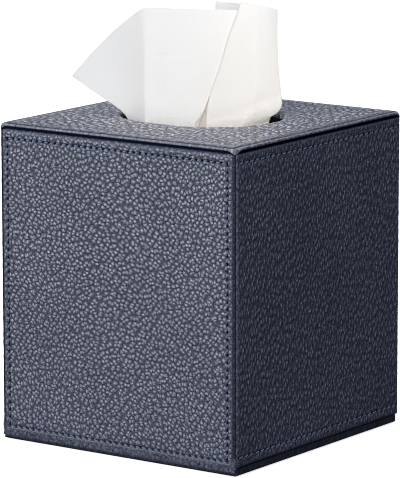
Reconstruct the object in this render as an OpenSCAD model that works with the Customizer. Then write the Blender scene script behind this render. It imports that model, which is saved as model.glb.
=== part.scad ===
// Tissue box cover: four leather-wrapped walls, a leather-wrapped lid with an oval opening,
// and a bottom flap that hangs on the front wall's leather. A stack of tissues stands inside.
// The origin is the middle of the footprint, on the surface that the cover stands on.
// The front wall faces -Y and +Z is up.

/* [Cover] */
// Width of the cover, left to right
cover_w = 130; // [115:1:180]
// Depth of the cover, front to rear
cover_d = 132; // [115:1:180]
// Height of the cover, to the top of the lid's rim
cover_h = 145.5; // [110:0.5:190]

/* [Walls] */
// Thickness of the wall boards
board_t = 2.4; // [2:0.1:4]
// Thickness of the leather
leather_t = 0.8; // [0.6:0.1:1.2]
// Thickness of the suede lining
lining_t = 0.4; // [0.3:0.1:0.8]
// Outer radius of the front and rear walls' wrapped upper and upright edges
edge_r = 2.5; // [1.6:0.1:3.2]
// Outer radius of the side walls' wrapped upper and upright edges
side_edge_r = 1.4; // [0.9:0.1:3.2]
// Outer radius of the lower edge of the side and rear walls
low_edge_r = 1.4; // [1:0.1:2.4]
// How far a wall's wrapped end stands back from its neighbour's face
end_setback = 1; // [0.2:0.1:1.6]
// Slot between the leathers of two walls that meet at a corner
seam_gap = 0.3; // [0.1:0.05:0.6]

/* [Lid] */
// Thickness of the lid's board
lid_board_t = 1.8; // [1.4:0.1:3]
// Radius of the lid's upper rim
lid_edge_r = 1.2; // [0.6:0.1:1.8]
// Radius of the lid's lower rim
lid_low_r = 0.5; // [0.2:0.1:0.6]
// Radius of the lid's corners, seen from above
lid_corner_r = 2.5; // [1.5:0.1:6]

/* [Opening] */
// Clear width of the opening
opening_w = 76; // [64:1:90]
// Clear depth of the opening
opening_d = 62; // [50:1:74]
// Radius of the rolled leather lip around the opening
lip_r = 1.6; // [1.2:0.1:2.2]
// How far the lip stands above the lid's rim
lip_rise = 0.8; // [0.2:0.1:1.2]

/* [Flap] */
// Thickness of the flap's board
flap_board_t = 2.2; // [1.8:0.1:4]
// Running gap between the flap and what stands above it
flap_gap = 0.3; // [0.2:0.05:0.8]
// How far the flap's side and rear edges stand inside the walls' faces
flap_inset = 0.7; // [0.3:0.1:2]
// Radius of the flap's lower front edge, where the leather turns under
flap_front_r = 2; // [1:0.1:2.2]
// Radius of the flap's other lower edges
flap_edge_r = 0.9; // [0.5:0.1:1.5]
// Height of the leather strip that bends, half of it on the wall
hinge_h = 3; // [2.4:0.1:3.4]

/* [Stitching] */
// Distance from one stitch to the next on the front and rear walls
stitch_pitch = 3.35; // [3:0.05:6]
// Distance from one stitch to the next on the side walls
side_stitch_pitch = 4.1; // [3:0.05:6]
// Length of one stitch
stitch_len = 2.3; // [1.5:0.1:2.6]
// Thickness of the thread
thread_d = 0.5; // [0.4:0.05:0.6]
// Distance of the upright stitching from the cover's corner
stitch_side = 4.7; // [4:0.1:8]
// Distance of the upper stitching from the wall's upper edge
stitch_top = 4.5; // [4:0.1:8]
// Distance of the lower stitching from the wall's lower edge
stitch_low = 4.5; // [3:0.1:8]
// Distance of the front wall's lower stitching from the wall's lower edge
stitch_low_front = 2.6; // [2.4:0.1:8]
// Width of the groove that the stitching lies in
groove_w = 1; // [0.7:0.1:1.4]
// Depth of that groove
groove_d = 0.35; // [0.2:0.05:0.5]

/* [Magnets] */
// Height of the glue blocks in the two rear corners
block_h = 12; // [6:1:30]
// Space between a glue block and the corner of the stack of tissues
block_clear = 1.4; // [0.5:0.1:4]
// Diameter of the closing magnets
magnet_d = 6; // [4:0.5:7]
// Thickness of the closing magnets
magnet_t = 1.5; // [1:0.1:1.6]
// Wood left around a magnet
magnet_wall = 1.7; // [1:0.1:2.4]

/* [Tissues] */
// Space above the stack of tissues
pack_headroom = 38; // [25:1:60]
// Thickness of the raised sheet, its plies and air together
sheet_t = 0.7; // [0.5:0.1:1]
// Height of the sheet's peak above the lid's rim
sheet_rise = 52.5; // [30:0.5:80]
// Span of the sheet, from its hanging corner to its far edge
sheet_span = 91; // [70:1:110]
// Turn of the sheet's broad face away from the front
sheet_turn = 36; // [0:1:60]
// Room between the gathered sheet and the edge of the opening
sheet_clear = 1.6; // [1.2:0.1:10]
// How far the sheet's right edge bulges just above the opening
sheet_flare = 3.6; // [0:0.1:6]

/* [Hidden] */
$fn = 64;
thread_sides = 16;

leather_col = [0.24, 0.26, 0.33];
leather_side_col = [0.19, 0.20, 0.26];
leather_top_col = [0.42, 0.42, 0.49];
thread_col = [0.42, 0.50, 0.60];
board_col = [0.66, 0.54, 0.40];
lining_col = [0.10, 0.10, 0.12];
wood_col = [0.78, 0.66, 0.48];
magnet_col = [0.72, 0.73, 0.75];
tissue_col = [0.95, 0.95, 0.94];

// How far cutting shapes run past what they cut
cut = 1;

// Levels, from the floor up
flap_t = leather_t + flap_board_t + lining_t;
wall_z0 = flap_t + flap_gap;
lid_t = leather_t + lid_board_t;
wall_z1 = cover_h - lid_t;
wall_h = wall_z1 - wall_z0;
hinge_z = flap_t + flap_gap / 2;
hinge_z0 = hinge_z - hinge_h / 2;

// A wall in plan: its leather and its board, without the lining
wall_t = leather_t + board_t;
side_t = wall_t + lining_t;
inner_w = cover_w - 2 * side_t;
inner_d = cover_d - 2 * side_t;

// The opening is a slot with round ends
end_r = opening_d / 2;
end_x = (opening_w - opening_d) / 2;
lip_z = cover_h + lip_rise - lip_r;

// A glue block leaves the same wood on all three sides of its magnet, and the stack's corner
// stays clear of the block
magnet_in = magnet_wall + magnet_d / 2;
magnet_x = inner_w / 2 - magnet_in;
magnet_y = inner_d / 2 - magnet_in;
block_leg = magnet_in * (2 + sqrt(2));
pack_gap = (block_leg + block_clear * sqrt(2)) / 2;
pack_w = inner_w - 2 * pack_gap;
pack_d = inner_d - 2 * pack_gap;
pack_z1 = wall_z1 - lining_t - pack_headroom;

// Walls are told apart by their turn from the front: 0 front, 90 right, 180 rear, 270 left
function is_broad(turn) = turn % 180 == 0;
function side_width(turn) = is_broad(turn) ? cover_w : cover_d;
function wrap_r(turn) = min(is_broad(turn) ? edge_r : side_edge_r, wall_t);
function low_r(turn) = turn == 0 ? 0 : min(low_edge_r, wall_t);

// A wall in its own frame: X along the wall, Y inward from its face, Z up.
// skin is how far the shape lies inside the leather's outside.
module wall_plan(turn, skin) {
    w = side_width(turn);
    mitre = sqrt(2) * (skin + seam_gap / 2);
    end = w / 2 - end_setback - skin;
    intersection() {
        polygon([[-w / 2 + mitre, 0], [w / 2 - mitre, 0],
                 [w / 2 - wall_t - mitre, wall_t], [-w / 2 + wall_t + mitre, wall_t]]);
        difference() {
            translate([-end, skin])
                square([2 * end, wall_t - skin]);
            for (side = [-1, 1])
                edge_cut([side * end, skin], [-side, 1], wrap_r(turn) - skin);
        }
    }
}

// The same wall cut from outside to inside. The front wall's leather isn't wrapped under it.
module wall_section(turn, skin) {
    top = wall_z1 - skin;
    low = wall_z0 + (turn == 0 ? 0 : skin);
    difference() {
        translate([skin, low])
            square([wall_t - skin, top - low]);
        edge_cut([skin, top], [1, -1], wrap_r(turn) - skin);
        edge_cut([skin, low], [1, 1], low_r(turn) - skin);
    }
}

// What a rounded edge of radius r takes off a square corner; dir points into the solid
module edge_cut(corner, dir, r) {
    if (r > 0)
        translate(corner)
            flip_to(dir)
                difference() {
                    translate([-cut, -cut])
                        square([cut + r, cut + r]);
                    translate([r, r])
                        circle(r = r);
                }
}

module flip_to(dir) {
    mirror([dir[0] < 0 ? 1 : 0, 0])
        mirror([0, dir[1] < 0 ? 1 : 0])
            children();
}

// Extrudes a shape drawn in Y and Z along X
module along_x(length) {
    rotate([90, 0, 90])
        translate([0, 0, -length / 2])
            linear_extrude(length)
                children();
}

// Extrudes a shape drawn in X and Z along Y
module along_y(length) {
    rotate([90, 0, 0])
        translate([0, 0, -length / 2])
            linear_extrude(length)
                children();
}

module wall_shape(turn, skin) {
    intersection() {
        translate([0, 0, wall_z0])
            linear_extrude(wall_h)
                wall_plan(turn, skin);
        along_x(side_width(turn))
            wall_section(turn, skin);
    }
}

// Puts a wall's own frame on its side of the cover
module on_side(turn) {
    reach = is_broad(turn) ? cover_d / 2 : cover_w / 2;
    rotate([0, 0, turn])
        translate([0, -reach, 0])
            children();
}

// Straight rows of stitches on a wall: middle [x, z], length, and whether the row stands upright.
// The front and rear walls are stitched on all four sides, the side walls above and below only.
function stitch_rows(turn) =
    let (low = wall_z0 + (turn == 0 ? stitch_low_front : stitch_low))
    let (high = wall_z1 - stitch_top)
    let (inset = is_broad(turn) ? stitch_side : end_setback + side_edge_r)
    let (reach = side_width(turn) / 2 - inset)
    concat([for (z = [low, high]) [[0, z], 2 * reach, false]],
           [for (x = is_broad(turn) ? [-reach, reach] : []) [[x, (low + high) / 2], high - low, true]]);

module place_rows(turn) {
    for (row = stitch_rows(turn))
        translate([row[0][0], 0, row[0][1]])
            rotate([0, row[2] ? 90 : 0, 0]) {
                $row_length = row[1];
                children();
            }
}

module stitches(length, pitch) {
    count = floor(length / pitch);
    for (i = [0 : count - 1])
        translate([(i - (count - 1) / 2) * pitch, groove_d - thread_d / 2, 0])
            rotate([0, 90, 0])
                cylinder(h = stitch_len, d = thread_d, center = true, $fn = thread_sides);
}

// The groove that a row of stitches lies in
module stitch_groove(length) {
    translate([-length / 2, -cut, -groove_w / 2])
        cube([length, groove_d + cut, groove_w]);
}

module wall_board(turn) {
    on_side(turn)
        wall_shape(turn, leather_t);
}

module wall_leather(turn) {
    on_side(turn)
        difference() {
            wall_shape(turn, 0);
            wall_shape(turn, leather_t);
            place_rows(turn)
                stitch_groove($row_length);
            if (turn == 0)
                hinge_strip(cut);
        }
}

// The leather that bends between the front wall and the flap, in the front wall's frame
module hinge_strip(grow) {
    w = cover_w - 2 * (end_setback + wrap_r(0));
    translate([-w / 2, -grow, hinge_z0])
        cube([w, leather_t + grow, hinge_h]);
}

module wall_lining(turn) {
    room = is_broad(turn) ? inner_w + 2 * lining_t : inner_d;
    on_side(turn)
        translate([-room / 2, wall_t, wall_z0])
            cube([room, lining_t, wall_h - lining_t]);
}

module wall_stitching(turn) {
    on_side(turn)
        place_rows(turn)
            stitches($row_length, is_broad(turn) ? stitch_pitch : side_stitch_pitch);
}

// Rounded rectangle in plan
module rounded_plan(w, d, r) {
    for (x = [-1, 1])
        for (y = [-1, 1])
            translate([x * (w / 2 - r), y * (d / 2 - r)])
                circle(r = r);
    square([w - 2 * r, d], center = true);
    square([w, d - 2 * r], center = true);
}

// Section of a plate, with a radius on its upper and one on its lower corners
module plate_section(w, z0, z1, top_r, low_r) {
    difference() {
        translate([-w / 2, z0])
            square([w, z1 - z0]);
        for (side = [-1, 1]) {
            edge_cut([side * w / 2, z1], [-side, -1], top_r);
            edge_cut([side * w / 2, z0], [-side, 1], low_r);
        }
    }
}

module opening_plan(grow) {
    for (side = [-1, 1])
        translate([side * end_x, 0])
            circle(r = end_r + grow);
    square([2 * end_x, 2 * (end_r + grow)], center = true);
}

module lid_solid() {
    intersection() {
        translate([0, 0, wall_z1])
            linear_extrude(lid_t)
                rounded_plan(cover_w, cover_d, lid_corner_r);
        along_x(cover_w)
            plate_section(cover_d, wall_z1, cover_h, lid_edge_r, lid_low_r);
        along_y(cover_d)
            plate_section(cover_w, wall_z1, cover_h, lid_edge_r, lid_low_r);
    }
}

module lid_board_solid() {
    translate([0, 0, wall_z1])
        linear_extrude(lid_board_t)
            rounded_plan(cover_w - 2 * leather_t, cover_d - 2 * leather_t, lid_corner_r - leather_t);
}

module opening_cut(grow, z0, z1) {
    translate([0, 0, z0])
        linear_extrude(z1 - z0)
            opening_plan(grow);
}

// The leather rolled around the opening
module lip() {
    for (side = [-1, 1]) {
        translate([side * end_x, 0, lip_z])
            rotate([0, 0, side > 0 ? -90 : 90])
                rotate_extrude(angle = 180)
                    translate([end_r + lip_r, 0])
                        circle(r = lip_r);
        translate([0, side * (end_r + lip_r), lip_z])
            rotate([0, 90, 0])
                cylinder(r = lip_r, h = 2 * end_x, center = true);
    }
}

module front_board() { color(board_col) wall_board(0); }
module right_board() { color(board_col) wall_board(90); }
module rear_board() { color(board_col) wall_board(180); }
module left_board() { color(board_col) wall_board(270); }

module front_leather() { color(leather_col) wall_leather(0); }
module right_leather() { color(leather_side_col) wall_leather(90); }
module rear_leather() { color(leather_side_col) wall_leather(180); }
module left_leather() { color(leather_col) wall_leather(270); }

module front_lining() { color(lining_col) wall_lining(0); }
module right_lining() { color(lining_col) wall_lining(90); }
module rear_lining() { color(lining_col) wall_lining(180); }
module left_lining() { color(lining_col) wall_lining(270); }

module front_stitching() { color(thread_col) wall_stitching(0); }
module right_stitching() { color(thread_col) wall_stitching(90); }
module rear_stitching() { color(thread_col) wall_stitching(180); }
module left_stitching() { color(thread_col) wall_stitching(270); }

module lid_board() {
    color(board_col)
        difference() {
            lid_board_solid();
            opening_cut(2 * lip_r, wall_z1 - cut, cover_h);
        }
}

module lid_leather() {
    color(leather_top_col) {
        difference() {
            lid_solid();
            lid_board_solid();
            opening_cut(lip_r, wall_z1 - cut, cover_h + cut);
        }
        lip();
    }
}

module lid_lining() {
    color(lining_col)
        difference() {
            translate([-inner_w / 2 - lining_t, -inner_d / 2 - lining_t, wall_z1 - lining_t])
                cube([inner_w + 2 * lining_t, inner_d + 2 * lining_t, lining_t]);
            opening_cut(2 * lip_r, wall_z1 - lining_t - cut, cover_h);
        }
}

module hinge_leather() {
    color(leather_col)
        on_side(0)
            hinge_strip(0);
}

// The flap runs from the front face to just short of the rear face
flap_w = cover_w - 2 * flap_inset;
flap_d = cover_d - flap_inset;
flap_mid_y = -flap_inset / 2;
flap_magnet_z = flap_t - lining_t - magnet_t;

module flap_solid(skin, z0, z1) {
    w = flap_w - 2 * skin;
    d = flap_d - 2 * skin;
    intersection() {
        translate([0, flap_mid_y, z0])
            linear_extrude(z1 - z0)
                rounded_plan(w, d, lid_corner_r - skin);
        along_y(cover_d)
            plate_section(w, z0, z1, 0, flap_edge_r - skin);
        translate([0, flap_mid_y, 0])
            along_x(cover_w)
                difference() {
                    translate([-d / 2, z0])
                        square([d, z1 - z0]);
                    edge_cut([-d / 2, z0], [1, 1], flap_front_r - skin);
                    edge_cut([d / 2, z0], [-1, 1], flap_edge_r - skin);
                }
    }
}

module flap_board() {
    color(board_col)
        difference() {
            flap_solid(leather_t, leather_t, flap_t - lining_t);
            magnets(flap_magnet_z, magnet_t + cut);
        }
}

module flap_leather() {
    color(leather_col)
        difference() {
            flap_solid(0, 0, flap_t);
            flap_solid(leather_t, leather_t, flap_t + cut);
            on_side(0)
                hinge_strip(cut);
        }
}

module flap_lining() {
    color(lining_col)
        translate([0, 0, flap_t - lining_t])
            linear_extrude(lining_t)
                translate([0, flap_mid_y])
                    rounded_plan(flap_w - 2 * leather_t, flap_d - 2 * leather_t, lid_corner_r - leather_t);
}

// The pair of discs in the two rear corners, or the holes for them
module magnets(z, h) {
    for (side = [-1, 1])
        translate([side * magnet_x, magnet_y, z])
            cylinder(d = magnet_d, h = h);
}

// Three-cornered blocks glued into the rear corners, each with a magnet in its underside
module glue_blocks() {
    color(wood_col)
        difference() {
            for (side = [-1, 1])
                translate([0, 0, wall_z0])
                    linear_extrude(block_h)
                        polygon([[side * inner_w / 2, inner_d / 2],
                                 [side * (inner_w / 2 - block_leg), inner_d / 2],
                                 [side * inner_w / 2, inner_d / 2 - block_leg]]);
            magnets(wall_z0 - cut, magnet_t + cut);
        }
}

module wall_magnets() {
    color(magnet_col)
        magnets(wall_z0, magnet_t);
}

module flap_magnets() {
    color(magnet_col)
        magnets(flap_magnet_z, magnet_t);
}

module tissue_pack() {
    color(tissue_col)
        translate([-pack_w / 2, -pack_d / 2, wall_z0])
            cube([pack_w, pack_d, pack_z1 - wall_z0]);
}

// The raised sheet is a folded ribbon. Each fold line runs from the stack, through the opening,
// to the sheet's upper edge: its place across and behind the opening's middle, as shares of the
// gather; its upper end across, as a share of the span, and behind, in mm; its height as a share
// of the rise. Negative is to the left, and nearer to the front.
fold_lines = [
    [-1.00, -0.02, -0.636, 8, 0.34],
    [-0.79, -0.24, -0.286, -7, 0.935],
    [-0.45, -0.22, -0.12, -7.5, 0.91],
    [-0.09, -0.19, 0.05, -5, 0.92],
    [0.05, -0.06, 0.07, -2.5, 0.92],
    [0.50, -0.08, 0.23, -3, 0.91],
    [0.95, 0.05, 0.363, 2, 0.91],
    [0.62, 0.20, 0.30, 7, 0.95],
    [0.30, 0.22, 0.19, 9, 0.99],
    [-0.20, 0.18, 0.068, 8, 1.00]];
// The sheet's half width in the opening, which is cut at the sheet's own slant
gather = slot_reach(sheet_turn) - sheet_clear;
// Levels of the fold lines: how far each lies from the opening, as a share of the way
// down to the stack or up to the sheet's upper edge
level_shares = [-1, -0.5, 0, 0.07, 0.15, 0.3, 0.5, 0.75, 1];
stack_gather = 0.7;
belly = 2.2;
sheet_waist = cover_h + lip_rise;

// Distance from the opening's middle to its edge, along a line turned from the X axis
function slot_reach(angle) =
    end_x * cos(angle) + sqrt(pow(end_r, 2) - pow(end_x * sin(angle), 2));

// Rises from nothing to 1 just above the opening, at bulge_share, and falls off again
bulge_share = 0.2;
bulge_power = 1 / bulge_share - 1;
function early_bulge(share) = share / bulge_share * pow((1 - share) / (1 - bulge_share), bulge_power);

function fold_point(line, share) =
    let (across = line[0] * gather)
    let (behind = line[1] * gather)
    let (k = 1 + (1 - stack_gather) * share)
    share < 0
        ? [across * k, behind * k, sheet_waist - share * (pack_z1 - sheet_waist)]
        : [across + share * (line[2] * sheet_span - across)
               + sheet_flare * max(line[0], 0) * early_bulge(share),
           behind + share * (line[3] - behind) - belly * sin(180 * share),
           sheet_waist + share * (line[4] * sheet_rise - lip_rise)];

function level(share) = [for (line = fold_lines) fold_point(line, share)];

// Direction square to the ribbon in plan, at point i of a level
function square_to(points, i) =
    let (a = points[max(i - 1, 0)])
    let (b = points[min(i + 1, len(points) - 1)])
    let (along = [b[0] - a[0], b[1] - a[1]])
    [-along[1], along[0], 0] / norm(along);

function offset_level(points, d) =
    [for (i = [0 : len(points) - 1]) points[i] + d * square_to(points, i)];

module tissue_sheet() {
    levels = [for (share = level_shares) level(share)];
    rings = [for (points = levels)
        concat(offset_level(points, -sheet_t / 2),
               [for (i = [len(points) - 1 : -1 : 0]) offset_level(points, sheet_t / 2)[i]])];
    n = 2 * len(fold_lines);
    rows = len(level_shares);
    half = len(fold_lines);
    points = [for (ring = rings) each ring];
    sides = [for (r = [0 : rows - 2]) for (i = [0 : n - 1])
        each [[r * n + i, (r + 1) * n + i, r * n + (i + 1) % n],
              [(r + 1) * n + i, (r + 1) * n + (i + 1) % n, r * n + (i + 1) % n]]];
    low_cap = [for (i = [0 : half - 2])
        each [[i, i + 1, n - 1 - i], [i + 1, n - 2 - i, n - 1 - i]]];
    high_cap = [for (f = low_cap) [for (p = [2, 1, 0]) f[p] + (rows - 1) * n]];
    color(tissue_col)
        rotate([0, 0, sheet_turn])
            polyhedron(points = points, faces = concat(sides, low_cap, high_cap));
}

front_board();
front_leather();
front_lining();
front_stitching();
rear_board();
rear_leather();
rear_lining();
rear_stitching();
left_board();
left_leather();
left_lining();
left_stitching();
right_board();
right_leather();
right_lining();
right_stitching();
lid_board();
lid_leather();
lid_lining();
hinge_leather();
flap_board();
flap_leather();
flap_lining();
glue_blocks();
wall_magnets();
flap_magnets();
tissue_pack();
tissue_sheet();
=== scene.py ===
"""A navy leather tissue box cover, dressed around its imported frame. Sizes in this script are in mm."""

import math

import bpy
import numpy as np
from mathutils import Matrix, Vector


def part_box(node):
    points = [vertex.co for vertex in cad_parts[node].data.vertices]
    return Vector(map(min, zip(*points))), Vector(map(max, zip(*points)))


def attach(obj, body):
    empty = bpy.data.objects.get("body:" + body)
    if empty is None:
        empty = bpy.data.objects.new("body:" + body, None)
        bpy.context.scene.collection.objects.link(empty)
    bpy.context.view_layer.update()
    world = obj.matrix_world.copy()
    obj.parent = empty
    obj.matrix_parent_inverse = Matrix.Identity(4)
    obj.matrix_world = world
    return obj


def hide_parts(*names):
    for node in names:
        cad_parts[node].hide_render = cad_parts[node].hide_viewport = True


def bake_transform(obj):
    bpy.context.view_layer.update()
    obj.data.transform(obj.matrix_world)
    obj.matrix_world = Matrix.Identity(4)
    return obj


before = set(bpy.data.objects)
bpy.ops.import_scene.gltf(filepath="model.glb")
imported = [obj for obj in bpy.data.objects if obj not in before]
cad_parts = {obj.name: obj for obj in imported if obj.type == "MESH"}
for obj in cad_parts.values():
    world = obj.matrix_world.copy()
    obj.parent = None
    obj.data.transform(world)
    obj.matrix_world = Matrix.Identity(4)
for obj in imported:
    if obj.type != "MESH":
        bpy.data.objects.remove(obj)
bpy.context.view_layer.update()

MM = 0.001
# The cover's sizes, as its solids have them
COVER_W, COVER_D, COVER_H = 130, 132, 145.5
WALL_T = 3.2
LEATHER_T = 0.8
WALL_Z0, WALL_Z1 = 3.7, 142.9
BROAD_EDGE_R, SIDE_EDGE_R = 2.5, 1.4
END_SETBACK, SEAM_GAP = 1, 0.3
HINGE_Z1 = 5.05
OPENING_W, OPENING_D = 76, 62
LID_BOARD_Z1, LID_CORNER_R = 144.7, 2.5
STACK_Z1 = 104.5
# The stitching: its pitch on the front and rear walls and on the side walls, and how far its upper row and its
# upright rows lie from the wall's edges
BROAD_PITCH, SIDE_PITCH = 3.35, 4.1
UPPER_ROW_INSET, UPRIGHT_ROW_INSET = 4.5, 4.7
# How deep the thread draws the leather in, and how much deeper its needle holes are
FURROW_DEPTH, HOLE_DEPTH = 0.24, 0.45


# ---------------------------------------------------------------- camera and light

def set_camera():
    """The photograph's camera: a long lens, a little above the lid, turned between the front and the right wall."""
    azimuth, elevation, roll = math.radians(35.549), math.radians(10.609), math.radians(-0.082)
    distance, across, height = 1778.2, -0.92, 88.86
    forward = Vector((-math.sin(azimuth) * math.cos(elevation), math.cos(azimuth) * math.cos(elevation),
                      -math.sin(elevation)))
    right = Vector((math.cos(azimuth), math.sin(azimuth), 0))
    up = right.cross(forward)
    right, up = (right * math.cos(roll) + up * math.sin(roll), up * math.cos(roll) - right * math.sin(roll))
    target = Vector((across * math.cos(azimuth), across * math.sin(azimuth), height))
    data = bpy.data.cameras.new("camera")
    data.lens, data.sensor_width = 294.475, 36
    data.clip_start, data.clip_end = 0.05, 30
    camera = bpy.data.objects.new("camera", data)
    turned = Matrix((right, up, -forward)).transposed().to_4x4()
    camera.matrix_world = Matrix.Translation((target - forward * distance) * MM) @ turned
    bpy.context.scene.collection.objects.link(camera)
    bpy.context.scene.camera = camera


def add_light(name, azimuth, elevation, distance, size, brightness, colour=(1, 1, 1), aim=(0, 0, 80)):
    """A softbox that faces the cover, placed as the camera is: azimuth 0 is in front, 90 to the right. Its
    brightness is how bright its face looks, where white paper in full light is 1."""
    a, e = math.radians(azimuth), math.radians(elevation)
    place = Vector((math.sin(a) * math.cos(e), -math.cos(a) * math.cos(e), math.sin(e))) * distance
    data = bpy.data.lights.new(name, "AREA")
    data.shape = "RECTANGLE"
    data.size, data.size_y = size[0] * MM, size[1] * MM
    data.energy = brightness * math.pi * data.size * data.size_y
    data.color = colour
    light = bpy.data.objects.new(name, data)
    light.matrix_world = (Matrix.Translation((place + Vector(aim)) * MM)
                          @ (-place).to_track_quat("-Z", "Y").to_matrix().to_4x4())
    bpy.context.scene.collection.objects.link(light)
    return light


# ---------------------------------------------------------------- materials

def linear(colour):
    """An sRGB hex colour as the linear values that a shader takes."""
    parts = [int(colour[i:i + 2], 16) / 255 for i in (1, 3, 5)]
    return tuple(p / 12.92 if p <= 0.04045 else ((p + 0.055) / 1.055) ** 2.4 for p in parts) + (1,)


def add(tree, kind, links=None, **settings):
    """Adds a node. settings are its own; links gives its sockets a value, or the node or socket that feeds them."""
    node = tree.nodes.new(kind)
    for name, value in settings.items():
        setattr(node, name, value)
    for socket, value in (links or {}).items():
        if isinstance(value, bpy.types.Node):
            value = value.outputs[0]
        if isinstance(value, bpy.types.NodeSocket):
            tree.links.new(value, node.inputs[socket])
        else:
            node.inputs[socket].default_value = value
    return node


# Places of the sockets that a Mix node shows for numbers and for colours. A Map Range node's sockets 1 to 4 are
# from min, from max, to min and to max
FACTOR, NUMBER_A, NUMBER_B, COLOUR_A, COLOUR_B, MIXED_COLOUR = 0, 2, 3, 6, 7, 2

# Heights in the grain's pattern, from 0 to 1: the one that stays in place when the grain is pressed, the one that
# skin without grain is tinted as, and the one that all skin is tinted as where neither the creases' dye nor the
# crowns' painted highlight is drawn
PRESS_PLANE, PLAIN_SKIN, EVEN_TONE = 0.45, 0.22, 0.27


def new_material(name):
    material = bpy.data.materials.new(name)
    material.use_nodes = True
    material.node_tree.nodes.clear()
    return material, material.node_tree


def pebbles(tree, place, across, tall, wander, uneven):
    """Embossed pebble grain over the leather's own plane: 1 on a pebble's crown, 0 in the creases between.
    across and tall are a pebble's pitch; wander bends the rows, and uneven makes some pebbles lower than others."""
    # The rows run askew, swing slowly over the panel and jostle a little
    bent = add(tree, "ShaderNodeVectorRotate", {"Vector": place, "Angle": 0.6}, rotation_type="Z_AXIS")
    for reach, sway, detail in ((60, 4 * wander, 0.0), (9, 0.6 * wander, 2.0)):
        drift = add(tree, "ShaderNodeTexNoise", {"Vector": place, "Scale": 1 / (reach * MM), "Detail": detail},
                    noise_dimensions="2D")
        centred = add(tree, "ShaderNodeVectorMath", {0: drift.outputs[1], 1: (0.5, 0.5, 0.5)}, operation="SUBTRACT")
        bent = add(tree, "ShaderNodeVectorMath", {0: centred, 1: (sway * MM,) * 3, 2: bent}, operation="MULTIPLY_ADD")
    pitch = add(tree, "ShaderNodeVectorMath", {0: bent, 1: (1 / (across * MM), 1 / (tall * MM), 1)},
                operation="MULTIPLY")
    middle = add(tree, "ShaderNodeTexVoronoi", {"Vector": pitch, "Scale": 1.0, "Randomness": 0.8},
                 voronoi_dimensions="2D", feature="F1")
    border = add(tree, "ShaderNodeTexVoronoi", {"Vector": pitch, "Scale": 1.0, "Randomness": 0.8},
                 voronoi_dimensions="2D", feature="DISTANCE_TO_EDGE")
    crown = add(tree, "ShaderNodeMapRange", {0: middle, 1: 0.5, 2: 0.02, 3: 0.0, 4: 0.76},
                interpolation_type="SMOOTHSTEP")
    crease = add(tree, "ShaderNodeMapRange", {0: border, 1: 0.0, 2: 0.15, 3: 0.0, 4: 0.28},
                 interpolation_type="SMOOTHSTEP")
    dome = add(tree, "ShaderNodeMath", {0: crown, 1: crease}, operation="ADD")
    patch = add(tree, "ShaderNodeTexNoise", {"Vector": pitch, "Scale": 0.55, "Detail": 2.0}, noise_dimensions="2D")
    level = add(tree, "ShaderNodeMapRange", {0: patch, 1: 0.35, 2: 0.65, 3: 1 - 0.6 * uneven, 4: 1.0})
    own = add(tree, "ShaderNodeSeparateXYZ", {0: middle.outputs["Color"]})
    size = add(tree, "ShaderNodeMapRange", {0: own, 1: 0.0, 2: 1.0, 3: 1 - uneven, 4: 1.0})
    sized = add(tree, "ShaderNodeMath", {0: dome, 1: size}, operation="MULTIPLY")
    return add(tree, "ShaderNodeMath", {0: sized, 1: level}, operation="MULTIPLY").outputs[0]


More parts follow.
